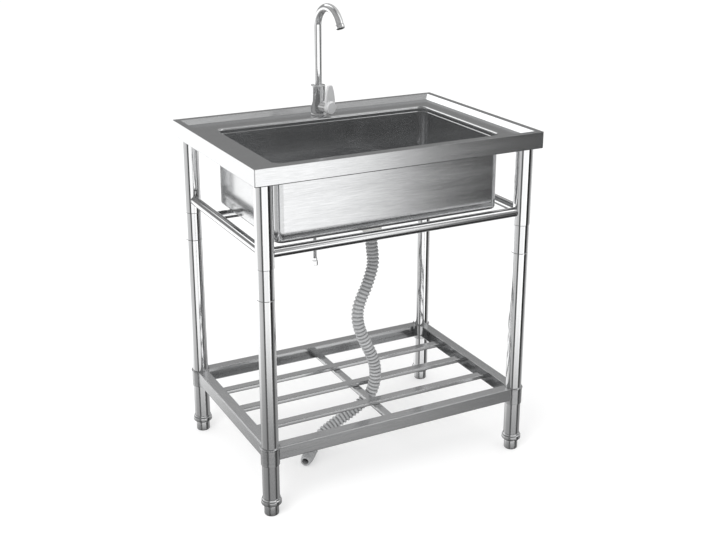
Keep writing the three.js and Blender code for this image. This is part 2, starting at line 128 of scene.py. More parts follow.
def pushEdges(move):
    bpy.ops.mesh.extrude_edges_move(TRANSFORM_OT_translate={"value": tuple(move)})


def applied(piece, kind, **settings):
    makeActive(piece)
    modifier = piece.modifiers.new(kind.title(), kind)
    for key, value in settings.items():
        setattr(modifier, key, value)
    bpy.ops.object.modifier_apply(modifier=modifier.name)


def thickened(piece, sheet, offset=-1, even=True):
    applied(piece, "SOLIDIFY", thickness=sheet * mm, offset=offset, use_even_offset=even)


def softened(piece, width, segments=2, angle=32):
    applied(
        piece,
        "BEVEL",
        width=width * mm,
        segments=segments,
        limit_method="ANGLE",
        angle_limit=math.radians(angle),
        use_clamp_overlap=True,
    )


def finished(piece, node, finishName, body="stand", angle=34, evenShading=True):
    finish = finishes[finishName]
    makeActive(piece)
    bpy.ops.object.transform_apply(location=True, rotation=True, scale=True)
    bpy.ops.object.shade_smooth_by_angle(angle=math.radians(angle))
    if evenShading:  # wide flat faces stay flat beside their rounded edges
        applied(piece, "WEIGHTED_NORMAL", mode="FACE_AREA", weight=90, keep_sharp=True)
    piece.data.materials.clear()
    piece.data.materials.append(finish["material"])
    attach(piece, body)
    if node:
        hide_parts(node)


def copied(piece, name, move):  # a copy with its own mesh, moved in its mesh
    makeActive(piece)
    bpy.ops.object.duplicate(linked=False)
    twin = bpy.context.active_object
    twin.name = name
    twin.data.name = name
    bpy.ops.transform.translate(value=move)
    bpy.ops.object.transform_apply(location=True, rotation=True, scale=True)
    return twin


# outline in mm: radius and distance along the axis, closed unless both its ends are on the axis
def turnedPiece(name, outline, centre, along=(0, 0, 1), facets=64, closed=True):
    along = Vector(along).normalized()
    across = along.orthogonal().normalized()
    spots = [Vector(centre) + across * (r * mm) + along * (t * mm) for r, t in outline]
    if closed and (outline[0][0] > 0 or outline[-1][0] > 0):
        spots.append(spots[0])
    clearSelection()
    bpy.ops.mesh.primitive_plane_add(size=mm, location=spots[0])
    piece = openForEditing(name)
    bpy.ops.mesh.select_mode(type="VERT")
    bpy.ops.mesh.merge(type="CENTER")
    for here, there in zip(spots, spots[1:]):
        pushFaces(there - here)
    bpy.ops.mesh.select_all(action="SELECT")
    bpy.ops.mesh.spin(steps=facets, angle=2 * math.pi, center=centre, axis=along)
    cleanMesh()
    bpy.ops.object.mode_set(mode="OBJECT")
    return piece


def middleOf(node):
    low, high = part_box(node)
    return (Vector(low) + Vector(high)) / 2


# turned at the first corner and copied to the others
def onePerCorner(name, node, outline, finishName, body="stand"):
    start = middleOf(f"{node}_{cornerNames[0]}")
    first = None
    for corner in cornerNames:
        spot = middleOf(f"{node}_{corner}")
        if first is None:
            piece = first = turnedPiece(f"{name}_{corner}", outline, (spot.x, spot.y, 0), facets=72)
        else:
            piece = copied(first, f"{name}_{corner}", (spot.x - start.x, spot.y - start.y, 0))
        finished(piece, f"{node}_{corner}", finishName, body.format(corner=corner))


# a smooth line through the route's points, in even steps
def evenRoute(points, count, stepsPerSpan=24):
    spots = [Vector(p) * mm for p in points]
    spots = [spots[0] * 2 - spots[1], *spots, spots[-1] * 2 - spots[-2]]
    fine = []
    for a, b, c, d in zip(spots, spots[1:], spots[2:], spots[3:]):
        first, middle, last = ((q - p).length ** 0.5 for p, q in ((a, b), (b, c), (c, d)))
        leave = ((b - a) / first - (c - a) / (first + middle) + (c - b) / middle) * middle
        arrive = ((c - b) / middle - (d - b) / (middle + last) + (d - c) / last) * middle
        for i in range(stepsPerSpan):
            t = i / stepsPerSpan
            fine.append(
                b * (2 * t**3 - 3 * t**2 + 1)
                + leave * (t**3 - 2 * t**2 + t)
                + c * (3 * t**2 - 2 * t**3)
                + arrive * (t**3 - t**2)
            )
    fine.append(spots[-2])
    gone = [0.0]
    for here, there in zip(fine, fine[1:]):
        gone.append(gone[-1] + (there - here).length)
    even = []
    k = 0
    for i in range(count + 1):
        want = gone[-1] * i / count
        while k < len(gone) - 2 and gone[k + 1] < want:
            k += 1
        even.append(fine[k].lerp(fine[k + 1], (want - gone[k]) / (gone[k + 1] - gone[k])))
    return even, gone[-1]


def ringsAlong(route, radii, facets):  # points of rings square to the route, kept from twisting
    rings = []
    side = None
    for i, spot in enumerate(route):
        ahead = route[min(i + 1, len(route) - 1)] - route[max(i - 1, 0)]
        ahead.normalize()
        side = ahead.orthogonal() if side is None else side - ahead * side.dot(ahead)
        side.normalize()
        other = ahead.cross(side)
        turns = [2 * math.pi * k / facets for k in range(facets)]
        rings.append([spot + (side * math.cos(a) + other * math.sin(a)) * radii[i] for a in turns])
    return rings


def skinOver(name, rings):  # a closed skin: the last ring joins the first
    facets = len(rings[0])
    spots = [tuple(spot) for ring in rings for spot in ring]
    faces = []
    for row in range(len(rings)):
        here = row * facets
        there = (row + 1) % len(rings) * facets
        for k in range(facets):
            after = (k + 1) % facets
            faces.append((here + k, here + after, there + after, there + k))
    mesh = bpy.data.meshes.new(name)
    mesh.from_pydata(spots, [], faces)
    piece = bpy.data.objects.new(name, mesh)
    bpy.context.collection.objects.link(piece)
    reopenForEditing(piece)
    cleanMesh()
    bpy.ops.object.mode_set(mode="OBJECT")
    return piece


def hoseWall(name, form, route, radii, boreEvery):  # its bore is smooth, so it has fewer rings
    outside = ringsAlong(route, radii, form["facets"])
    inside = ringsAlong(route, [form["bore"] * mm] * len(route), form["facets"])
    return skinOver(name, [*outside, *reversed(inside[::boreEvery])])


# shader building: a socket gets another node's output, or a plain value
def wire(tree, node, sockets):
    for label, value in sockets.items():
        if isinstance(value, bpy.types.NodeSocket):
            tree.links.new(value, node.inputs[label])
        else:
            node.inputs[label].default_value = value


def addNode(tree, kind, sockets, **settings):
    node = tree.nodes.new(kind)
    for key, value in settings.items():
        setattr(node, key, value)
    wire(tree, node, sockets)
    return node


def addMath(tree, operation, *values):
    return addNode(tree, "ShaderNodeMath", dict(enumerate(values)), operation=operation).outputs[0]


def addNoise(tree, vector, scale, detail, roughness=0.6):
    sockets = {"Vector": vector, "Scale": scale, "Detail": detail, "Roughness": roughness}
    return addNode(tree, "ShaderNodeTexNoise", sockets).outputs["Fac"]


def addRange(tree, *values):
    labels = ("Value", "From Min", "From Max", "To Min", "To Max")
    return addNode(tree, "ShaderNodeMapRange", dict(zip(labels, values))).outputs["Result"]


def addMix(tree, factor, first, second, blend="MIX"):
    sockets = {"Factor": factor, "A": first, "B": second}
    return addNode(tree, "ShaderNodeMix", sockets, data_type="RGBA", blend_type=blend).outputs["Result"]


def addBump(tree, height, strength, depth=0.2):  # depth in mm
    sockets = {"Height": height, "Strength": strength, "Distance": depth * mm}
    return addNode(tree, "ShaderNodeBump", sockets).outputs["Normal"]


def addGroup(tree, group, sockets):
    return addNode(tree, "ShaderNodeGroup", sockets, node_tree=group)


# shader groups: an input without a value is a vector
def newGroup(name, inputs, outputs):
    group = bpy.data.node_groups.new(name, "ShaderNodeTree")
    for label, value in inputs.items():
        kind = "NodeSocketVector" if value is None else "NodeSocketFloat"
        socket = group.interface.new_socket(name=label, in_out="INPUT", socket_type=kind)
        if value is not None:
            socket.default_value = value
    for label in outputs:
        group.interface.new_socket(name=label, in_out="OUTPUT", socket_type="NodeSocketFloat")
    return group, group.nodes.new("NodeGroupInput").outputs, group.nodes.new("NodeGroupOutput")


grainNoise = {"lines": (1.0, 8.0, 0.75), "bands": (0.06, 3.0, 0.5)}  # scale, detail, roughness
handledNoise = {"clouds": (9.0, 4.0, 0.6), "specks": (160.0, 2.0, 0.5)}
noiseReach = {  # the noise values between which a material changes
    "lines": (0.3, 0.7),
    "bands": (0.25, 0.75),
    "clouds": (0.35, 0.65),
    "cloudGloss": (0.3, 0.7),
}
rubbedHighlightReach = (0.52, 0.6)  # the pointiness at which the painted edge highlight, with its rubbing, starts and is full
hollowShadeReach = (0.465, 0.51)  # the pointiness where the painted shade in hollows is full, and where open ground has none


def makeGrainGroup(noise):  # long lines left by the brush, on coordinates stretched in the material
    group, entry, leave = newGroup("brushGrain", {"Vector": None}, ["Lines", "Bands"])
    lines = addNoise(group, entry["Vector"], *noise["lines"])
    bands = addNoise(group, entry["Vector"], *noise["bands"])
    wire(group, leave, {"Lines": lines, "Bands": bands})
    return group


def makeHandledGroup(noise):  # faint cloudy marks that hands and water leave on bright metal
    group, entry, leave = newGroup("handledMarks", {"Vector": None, "Amount": 0.1}, ["Marks"])
    clouds = addNoise(group, entry["Vector"], *noise["clouds"])
    specks = addNoise(group, entry["Vector"], *noise["specks"])
    both = addMath(group, "MULTIPLY", clouds, specks)
    wire(group, leave, {"Marks": addMath(group, "MULTIPLY", both, entry["Amount"])})
    return group


def makeEdgeGroup(pointiness):  # painted highlight: brighter metal on convex edges, where they catch the light; it stands in also for rubbed wear
    group, entry, leave = newGroup("rubbedHighlightEdges", {"Strength": 1.0}, ["Edges"])
    shape = group.nodes.new("ShaderNodeNewGeometry")
    spread = addRange(group, shape.outputs["Pointiness"], *pointiness, 0.0, 1.0)
    wire(group, leave, {"Edges": addMath(group, "MULTIPLY", spread, entry["Strength"])})
    return group


grainGroup = makeGrainGroup(grainNoise)
handledGroup = makeHandledGroup(handledNoise)
edgeGroup = makeEdgeGroup(rubbedHighlightReach)


def newMaterial(name):
    material = bpy.data.materials.new(name)
    material.use_nodes = True
    tree = material.node_tree
    return material, tree, tree.nodes["Principled BSDF"]


def placeOn(tree, label="Object"):
    return tree.nodes.new("ShaderNodeTexCoord").outputs[label]


def darkToLight(tree, factor, form):
    return addMix(tree, factor, (*form["dark"], 1), (*form["light"], 1))


def coolGrey(level):
    return level, level + 0.005, level + 0.01


# steel: grain lines run along the axis whose stretch is smallest; its edge grey is a painted highlight
# on convex edges, also standing for rubbing
tubeSteel = {
    "slot": "tube_chrome",
    "dark": (0.72, 0.725, 0.735),
    "light": coolGrey(0.83),
    "rubbedHighlight": 0.95,
    "roughness": (0.07, 0.12),
    "metallic": 1.0,
    "marks": 0.08,
    "edges": 0.4,
    "bump": 0.03,
}
shelfSteel = {
    "slot": "shelf_satin",
    "dark": coolGrey(0.45),
    "light": coolGrey(0.58),
    "rubbedHighlight": 0.95,
    "roughness": (0.13, 0.18),
    "metallic": 0.92,
    "marks": 0.04,
    "edges": 0.15,
    "bump": 0.01,
}
steelForms = {
    "brushedSheet": {
        "slot": "bowl_and_deck",
        "stretch": (24, 560, 640),
        "dark": coolGrey(0.53),
        "light": coolGrey(0.7),
        "rubbedHighlight": 0.92,
        "roughness": (0.1, 0.16),
        "metallic": 0.95,
        "marks": 0.06,
        "edges": 0.15,
        "bump": 0.014,
    },
    "polishedTube": {**tubeSteel, "stretch": (700, 700, 12)},
    "polishedRailX": {**tubeSteel, "stretch": (12, 700, 700)},
    "polishedRailY": {**tubeSteel, "stretch": (700, 12, 700)},
    "satinX": {**shelfSteel, "stretch": (20, 500, 500)},
    "satinY": {**shelfSteel, "stretch": (500, 20, 500)},
    "satinRing": {
        "slot": "foot_satin",
        "stretch": (20, 20, 1400),
        "dark": coolGrey(0.56),
        "light": coolGrey(0.64),
        "rubbedHighlight": 0.92,
        "roughness": (0.16, 0.24),
        "metallic": 1.0,
        "marks": 0.1,
        "edges": 0.6,
        "bump": 0.02,
    },
    "chromePlate": {
        "slot": "faucet_chrome",
        "stretch": (60, 60, 60),
        "dark": coolGrey(0.82),
        "light": coolGrey(0.88),
        "rubbedHighlight": 0.97,
        "roughness": (0.03, 0.06),
        "metallic": 0.9,
        "marks": 0.06,
        "edges": 0.3,
        "bump": 0.0,
    },
    "satinChrome": {
        "slot": "lever_satin",
        "stretch": (300, 300, 60),
        "dark": coolGrey(0.82),
        "light": coolGrey(0.88),
        "rubbedHighlight": 0.95,
        "roughness": (0.42, 0.5),
        "metallic": 0.55,
        "marks": 0.1,
        "edges": 0.5,
        "bump": 0.04,
    },
    "strainerSteel": {
        "slot": "polished_steel",
        "stretch": (120, 120, 500),
        "dark": coolGrey(0.62),
        "light": coolGrey(0.76),
        "rubbedHighlight": 0.95,
        "roughness": (0.12, 0.2),
        "metallic": 1.0,
        "marks": 0.12,
        "edges": 0.5,
        "bump": 0.05,
    },
}


def makeSteel(name, form):
    material, tree, shader = newMaterial(name)
    place = placeOn(tree)
    stretched = addNode(tree, "ShaderNodeMapping", {"Vector": place, "Scale": form["stretch"]})
    grain = addGroup(tree, grainGroup, {"Vector": stretched.outputs["Vector"]}).outputs
    marks = addGroup(tree, handledGroup, {"Vector": place, "Amount": form["marks"]})
    edges = addGroup(tree, edgeGroup, {"Strength": form["edges"]})
    rubbedHighlight = form["rubbedHighlight"]
    brush = addRange(tree, grain["Lines"], *noiseReach["lines"], 0.0, 1.0)
    brushed = darkToLight(tree, brush, form)
    # painted highlight: convex edges are mixed towards a near-white grey, which also stands for rubbing
    rubbedAndHighlit = addMix(tree, edges.outputs["Edges"], brushed, (rubbedHighlight, rubbedHighlight, rubbedHighlight, 1))
    rough = addRange(tree, grain["Bands"], *noiseReach["bands"], *form["roughness"])
    wire(tree, shader, {
        "Base Color": rubbedAndHighlit,
        "Metallic": form["metallic"],
        "Roughness": addMath(tree, "ADD", rough, marks.outputs["Marks"]),
        "Normal": addBump(tree, grain["Lines"], form["bump"]),
    })
    return material


# plastic and rubber: cloudy, with painted shade that darkens its hollows, and fine pores
plasticForms = {
    "hosePlastic": {
        "slot": "hose_plastic",
        "cloud": 18,
        "hollowShade": 0.3,
        "dark": coolGrey(0.33),
        "light": coolGrey(0.42),
        "roughness": (0.32, 0.45),
        "pores": 900,
        "bump": 0.1,
    },
    "fittingPlastic": {
        "slot": "fitting_plastic",
        "cloud": 25,
        "hollowShade": 0.8,
        "dark": (0.62, 0.62, 0.6),
        "light": (0.74, 0.74, 0.72),
        "roughness": (0.4, 0.5),
        "pores": 1200,
        "bump": 0.12,
    },
    "gasketRubber": {
        "slot": "gasket_rubber",
        "cloud": 30,
        "hollowShade": 0.8,
        "dark": (0.012, 0.012, 0.012),
        "light": (0.03, 0.03, 0.03),
        "roughness": (0.6, 0.75),
        "pores": 1500,
        "bump": 0.2,
    },
}


def makePlastic(name, form):
    material, tree, shader = newMaterial(name)
    place = placeOn(tree)
    clouds = addNoise(tree, place, form["cloud"], detail=4.0)
    colour = darkToLight(tree, addRange(tree, clouds, *noiseReach["clouds"], 0.0, 1.0), form)
    shape = tree.nodes.new("ShaderNodeNewGeometry")
    # painted shade: the colour is scaled down where the surface is hollow, as between the hose's ribs
    hollowShade = addRange(tree, shape.outputs["Pointiness"], *hollowShadeReach, form["hollowShade"], 1.0)
    shaded = addNode(tree, "ShaderNodeVectorMath", {0: colour, "Scale": hollowShade}, operation="SCALE")
    pores = addNoise(tree, place, form["pores"], detail=2.0)
    wire(tree, shader, {
        "Base Color": shaded.outputs[0],
        "Roughness": addRange(tree, clouds, *noiseReach["cloudGloss"], *form["roughness"]),
        "Normal": addBump(tree, pores, form["bump"]),
    })
    return material


# braid: fine steel wires woven round the water hose
braidForms = {
    "steelBraid": {
        "slot": "hose_braid",
        "lean": 38,  # degrees, one way and the other
        "skew": 20,
        "wires": 210,
        "dark": coolGrey(0.25),
        "light": coolGrey(0.75),
        "roughness": (0.5, 0.3),
        "metallic": 0.9,
        "bump": 0.6,
        "bumpDepth": 0.4,
    },
}


def makeBraid(name, form):
    material, tree, shader = newMaterial(name)
    place = placeOn(tree)
    waves = []
    for lean in (form["lean"], -form["lean"]):
        turn = (0, math.radians(lean), math.radians(form["skew"]))
        tilted = addNode(tree, "ShaderNodeMapping", {"Vector": place, "Rotation": turn})
        sockets = {"Vector": tilted.outputs["Vector"], "Scale": form["wires"]}
        wave = addNode(tree, "ShaderNodeTexWave", sockets, wave_type="BANDS", bands_direction="Z")
        waves.append(wave.outputs["Fac"])
    weave = addMath(tree, "MAXIMUM", *waves)
    wire(tree, shader, {
        "Base Color": darkToLight(tree, weave, form),
        "Metallic": form["metallic"],
        "Roughness": addRange(tree, weave, 0.0, 1.0, *form["roughness"]),
        "Normal": addBump(tree, weave, form["bump"], form["bumpDepth"]),
    })
    return material


finishes = {}
makers = ((makeSteel, steelForms), (makePlastic, plasticForms), (makeBraid, braidForms))
for makeFinish, forms in makers:
    for finishName, finishForm in forms.items():
        material = makeFinish(finishName, finishForm)
        finishes[finishName] = {"material": material, "slot": finishForm["slot"]}
print("camera and finishes ready")


# drain hose: ribbed plastic, hanging from the strainer, through the shelf to the floor
drainHose = {
    "route": [
        (38, -14, 544.7), (38, -14, 528), (39, -14.5, 508), (41.5, -15, 484), (40.5, -17, 460),
        (32, -20, 435), (19, -24, 408), (6, -27, 386), (-3.5, -29, 364), (-7.5, -31, 342),
        (-5.5, -33, 318), (4, -35, 288), (17, -36, 259), (28, -37, 234), (35.5, -38, 208),
        (37.5, -38, 181), (35, -36, 155), (26, -31, 127), (6, -22, 102), (-24, -16, 80.5),
        (-60, -14, 62.5), (-92, -17, 47), (-117, -26, 32), (-135, -37.5, 20), (-147, -49, 16),
        (-157, -60.5, 16),
    ],
    "crest": 15,
    "valley": 12,
    "bore": 10.4,
    "ribs": 72,
    "rib": (0.0, 0.05, 0.35, 0.82, 0.97, 1.0, 0.97, 0.82, 0.35, 0.05),  # from valley to valley
    "facets": 32,
    "end": [
        (9, 0.3), (13.6, 0.3), (14.3, 1.2), (14.3, 7.5), (13, 10), (12.5, 20), (11.6, 22.6),
        (10, 23.8), (8.6, 24), (8, 23.2), (8, 4), (9, 4),
    ],
}


def makeDrainHose(form):
    steps = len(form["rib"])
    route, length = evenRoute(form["route"], form["ribs"] * steps)
    height = form["crest"] - form["valley"]
    radii = [(form["valley"] + height * form["rib"][i % steps]) * mm for i in range(len(route))]
    piece = hoseWall("drainHose", form, route, radii, steps)
    end = turnedPiece("hoseEnd", form["end"], route[-1], route[-1] - route[-2], facets=48)
    finished(end, "hose_end", "hosePlastic")
    finished(piece, "drain_hose", "hosePlastic", angle=60, evenShading=False)
    print(f"drain hose {length:.3f} m")


makeDrainHose(drainHose)


# water hose: a thin braided hose from the tap's shank, with a nut on its end
waterHose = {
    "route": [
        (-4, 190, 744.5), (-4, 190, 734), (-5, 190, 700), (-7.5, 190, 650), (-10, 190, 600),
        (-12, 190, 550), (-13.5, 190, 500), (-14, 190, 450), (-14, 190, 421),
    ],
    "radius": 4.3,
    "bore": 2.6,
    "steps": 80,
    "boreEvery": 8,
    "facets": 24,
    "nutFoot": 400,
    "nut": [
        (3.2, 0), (6.8, 0), (7.3, 0.8), (7.3, 12.6), (6.6, 13.6), (5.6, 14), (5.6, 20.4),
        (5.2, 20.7), (3.2, 20.7),
    ],
    "nutSides": 6,
    "nutEdge": 0.5,
}


def makeWaterHose(form):
    route, length = evenRoute(form["route"], form["steps"])
    radii = [form["radius"] * mm] * len(route)
    piece = hoseWall("waterHose", form, route, radii, form["boreEvery"])
    foot = (route[-1].x, route[-1].y, form["nutFoot"] * mm)
    end = turnedPiece("waterNut", form["nut"], foot, facets=form["nutSides"])
    softened(end, form["nutEdge"], segments=3)
    finished(end, "supply_nut", "chromePlate")
    finished(piece, "supply_hose", "steelBraid", angle=60, evenShading=False)
    print(f"water hose {length:.3f} m")


makeWaterHose(waterHose)


# deck: one pressed sheet with a raised rim round a flat ledge
deckSheet = {
    "rim": 15,
    "slope": 12,
    "ledgeDrop": 11,
    "bend": 6,
    "bendSteps": 6,
    "collarDrop": 5,
    "bowlLap": 2.7,  # how far the bowl's box stands outside its inner faces
    "mouthCorner": 17,
    "cornerSteps": 12,
    "tapHole": 16,
    "tapHoleSides": 40,
    "lip": 8,
    "fold": 2.6,
    "foldSteps": 5,
    "sheet": 1.2,
    "edge": 1.1,
    "edgeSteps": 4,
}


def openingBox():  # inner faces of the bowl, as the middle and half sizes of a rectangle
    low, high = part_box("sink_bowl")
    middle = middleOf("sink_bowl")
    lap = deckSheet["bowlLap"] * mm
    return middle.x, middle.y, (high[0] - low[0]) / 2 - lap, (high[1] - low[1]) / 2 - lap


def addRoundedPlate(cx, cy, halfX, halfY, corner, z, steps):  # a flat face, left selected
    bpy.ops.mesh.primitive_plane_add(size=2, location=(cx, cy, z))
    bpy.ops.transform.resize(value=(halfX, halfY, 1), center_override=(cx, cy, z))
    bpy.ops.mesh.bevel(offset=corner, segments=steps, affect="VERTICES")
    bpy.ops.mesh.select_mode(type="FACE")


def insetRound(radius, steps, flatFirst):  # insets down a quarter circle, starting flat or steep
    for step in range(steps):
        a = math.pi / 2 * step / steps
        b = math.pi / 2 * (step + 1) / steps
        flat = radius * (math.sin(b) - math.sin(a))
        steep = radius * (math.cos(a) - math.cos(b))
        across, down = (flat, steep) if flatFirst else (steep, flat)
        bpy.ops.mesh.inset(thickness=across, depth=-down)


def makeDeck(form):
    low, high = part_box("sink_deck")
    cx, cy, halfX, halfY = openingBox()
    top = high[2]
    ledge = top - form["ledgeDrop"] * mm
    wide = high[0] - low[0]
    deep = high[1] - low[1]
    clearSelection()
    bpy.ops.mesh.primitive_plane_add(size=1, location=(0, 0, top))
    piece = openForEditing("deckSheet")
    bpy.ops.transform.resize(value=(wide, deep, 1), center_override=(0, 0, top))
    bpy.ops.mesh.inset(thickness=form["rim"] * mm)
    bpy.ops.mesh.inset(thickness=form["slope"] * mm, depth=-form["ledgeDrop"] * mm)
    bpy.ops.mesh.delete(type="ONLY_FACE")

    bend = form["bend"] * mm
    corner = form["mouthCorner"] * mm + bend
    bpy.ops.mesh.select_all(action="DESELECT")
    addRoundedPlate(cx, cy, halfX + bend, halfY + bend, corner, ledge, form["cornerSteps"])
    insetRound(bend, form["bendSteps"], True)
    pushFaces((0, 0, -form["collarDrop"] * mm))
    bpy.ops.mesh.delete(type="FACE")

    tapHole = middleOf("faucet_shank")
    bpy.ops.mesh.select_all(action="DESELECT")
    bpy.ops.mesh.primitive_circle_add(
        vertices=form["tapHoleSides"],
        radius=form["tapHole"] * mm,
        location=(tapHole.x, tapHole.y, ledge),
    )
    pickByPlace(piece, "EDGE", lambda spot: abs(spot.z - ledge) < near)  # slope, mouth and tap hole
    bpy.ops.mesh.fill()

    def sidesAt(spot):  # how many of the deck's outer sides the spot is on
        return (abs(abs(spot.x) - wide / 2) < near) + (abs(abs(spot.y) - deep / 2) < near)

    def isFold(edge):  # the apron's corners and its lower edge
        ends = [end.co for end in edge.verts]
        return all(sidesAt(end) == 2 for end in ends) and any(end.z < top - near for end in ends)

    pickByPlace(piece, "EDGE", lambda spot: sidesAt(spot) > 0 and abs(spot.z - top) < near)
    pushEdges((0, 0, low[2] - top))
    pushEdges((0, 0, 0))
    lip = form["lip"] * mm
    bpy.ops.transform.resize(
        value=(1 - 2 * lip / wide, 1 - 2 * lip / deep, 1), center_override=(0, 0, low[2])
    )
    cleanMesh()
    pick(piece, "EDGE", isFold)
    bpy.ops.mesh.bevel(offset=form["fold"] * mm, segments=form["foldSteps"])
    thickened(piece, form["sheet"])
    softened(piece, form["edge"], form["edgeSteps"])
    finished(piece, "sink_deck", "brushedSheet")


makeDeck(deckSheet)


# bowl: drawn sheet, lapped round the deck's collar, with a floor that falls to the drain
bowlShell = {
    "lap": 1.5,
    "lapHeight": 5.7,
    "lapSlope": 2,  # height over which the lap runs in to the wall
    "corner": 17,
    "cornerSteps": 12,
    "edgeRadius": 5.8,
    "edgeSteps": 8,
    "floorEdge": 613.2,
    "drainRing": 62,
    "drainHole": 42,
    "drainFloor": 610.7,
    "sheet": 1.2,
}


def makeBowl(form):
    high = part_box("sink_bowl")[1]
    cx, cy, halfX, halfY = openingBox()
    drain = middleOf("strainer_flange")
    drain.z = form["drainFloor"] * mm
    lap = form["lap"] * mm
    radius = form["edgeRadius"] * mm
    floorEdge = form["floorEdge"] * mm
    lapFoot = high[2] - (form["lapHeight"] + form["lapSlope"]) * mm
    clearSelection()
    bpy.ops.mesh.primitive_plane_add(size=mm, location=(cx, cy, high[2]))
    piece = openForEditing("bowlShell")
    bpy.ops.mesh.delete(type="VERT")
    corner = form["corner"] * mm + lap
    addRoundedPlate(cx, cy, halfX + lap, halfY + lap, corner, high[2], form["cornerSteps"])
    pushFaces((0, 0, -form["lapHeight"] * mm))
    bpy.ops.mesh.inset(thickness=lap, depth=-form["lapSlope"] * mm)
    pushFaces((0, 0, floorEdge + radius - lapFoot))
    insetRound(radius, form["edgeSteps"], False)
    bpy.ops.mesh.delete(type="ONLY_FACE")

    ring = form["drainRing"] * mm
    shrink = form["drainHole"] / form["drainRing"]
    bpy.ops.mesh.select_all(action="DESELECT")
    bpy.ops.mesh.primitive_circle_add(
        vertices=4 * (form["cornerSteps"] + 1), radius=ring, location=drain
    )
    pushEdges((0, 0, 0))
    bpy.ops.transform.resize(value=(shrink, shrink, 1), center_override=drain)

    def isFloorBorder(spot):
        onRing = abs(spot.z - drain.z) < near and abs((spot.xy - drain.xy).length - ring) < near
        return onRing or abs(spot.z - floorEdge) < near

    pickByPlace(piece, "EDGE", isFloorBorder)
    bpy.ops.mesh.bridge_edge_loops()
    bpy.ops.mesh.select_all(action="SELECT")
    bpy.ops.mesh.remove_doubles(threshold=near)
    pickByPlace(piece, "FACE", lambda spot: abs(spot.z - high[2]) < near)
    bpy.ops.mesh.delete(type="FACE")
    bpy.ops.mesh.select_all(action="SELECT")
    bpy.ops.mesh.normals_make_consistent(inside=True)
    thickened(piece, form["sheet"])
    finished(piece, "sink_bowl", "brushedSheet")


makeBowl(bowlShell)
print("deck and bowl made")


# strainer: a flanged cup in the drain hole, with a basket that lifts out
strainerForm = {
    "cup": [
        (19, 577), (40, 577), (40, 611), (54.6, 611), (55, 611.6), (54, 612.6), (51, 613.2),
        (46, 613.2), (44.6, 612.4), (44, 611.9), (39.6, 611.9), (38.5, 610.8), (38.5, 578.5),
        (19, 578.5),
    ],
    "basket": [
        (0, 588.2), (9, 588.2), (15, 588.2), (21, 588.2), (27, 588.2), (33.5, 588.2),
        (36.1, 590.7), (36.1, 595), (36.1, 601), (36.1, 606), (36.1, 611.6), (37, 612.8),
        (41.5, 613.4), (43, 613),
    ],
    "knob": [
        (0, 588.3), (4, 588.3), (3.6, 592), (3.6, 602), (4.6, 605), (8, 606.4), (8.6, 607.8),
        (8, 609.3), (5.5, 610.4), (0, 610.8),
    ],
    "sheet": 1.1,
    "sectors": 48,
    "floorSlots": (14, 28),  # from and to this radius
    "floorBelow": 589,
    "wallSlots": (594, 606.5),  # from and to this height
    "wallBeyond": 35,
}


def makeStrainer(form):
    drain = middleOf("strainer_flange")
    centre = (drain.x, drain.y, 0)
    cup = turnedPiece("strainerCup", form["cup"], centre, facets=72)
    finished(cup, "strainer_flange", "strainerSteel")

    sectors = form["sectors"]
    basket = turnedPiece("strainerBasket", form["basket"], centre, facets=sectors, closed=False)
    reopenForEditing(basket)

    def isSlot(face):  # two in every four sectors of the floor, one in three of the wall
        spot = face.calc_center_median()
        out = spot.xy - drain.xy
        sector = int(math.atan2(out.y, out.x) % (2 * math.pi) / (2 * math.pi) * sectors)
        innerR, outerR = form["floorSlots"]
        lowZ, highZ = form["wallSlots"]
        onFloor = innerR * mm < out.length < outerR * mm and spot.z < form["floorBelow"] * mm
        onWall = form["wallBeyond"] * mm < out.length and lowZ * mm < spot.z < highZ * mm
        return (onFloor and sector % 4 < 2) or (onWall and sector % 3 == 0)

    pick(basket, "FACE", isSlot)
    bpy.ops.mesh.delete(type="FACE")
    thickened(basket, form["sheet"], offset=0, even=False)
    finished(basket, "strainer_basket", "strainerSteel", "basket")
    knob = turnedPiece("basketKnob", form["knob"], centre, facets=40)
    finished(knob, "basket_knob", "strainerSteel", "basket")


makeStrainer(strainerForm)


# hose nut under the strainer, with finger grips
hoseNut = {
    "outline": [
        (10.6, 545), (21, 545), (24, 547), (24.4, 549), (24.4, 558.5), (23.6, 560.8),
        (22.5, 561.5), (18.9, 561.5), (18.9, 547.7), (10.6, 547.7),
    ],
    "grips": 24,
    "rimBeyond": 24.2,
    "groove": 0.95,
}


def makeHoseNut(form):
    drain = middleOf("strainer_flange")
    columns = form["grips"] * 4
    piece = turnedPiece("hoseNut", form["outline"], (drain.x, drain.y, 0), facets=columns)
    reopenForEditing(piece)

    def isGroove(vert):  # every fourth column of the rim
        out = vert.co.xy - drain.xy
        column = round(math.atan2(out.y, out.x) / (2 * math.pi) * columns)
        return out.length > form["rimBeyond"] * mm and column % 4 == 0

    pick(piece, "VERT", isGroove)
    groove = form["groove"]
    bpy.ops.transform.resize(value=(groove, groove, 1), center_override=(drain.x, drain.y, 0))
    finished(piece, "hose_nut", "fittingPlastic")


makeHoseNut(hoseNut)


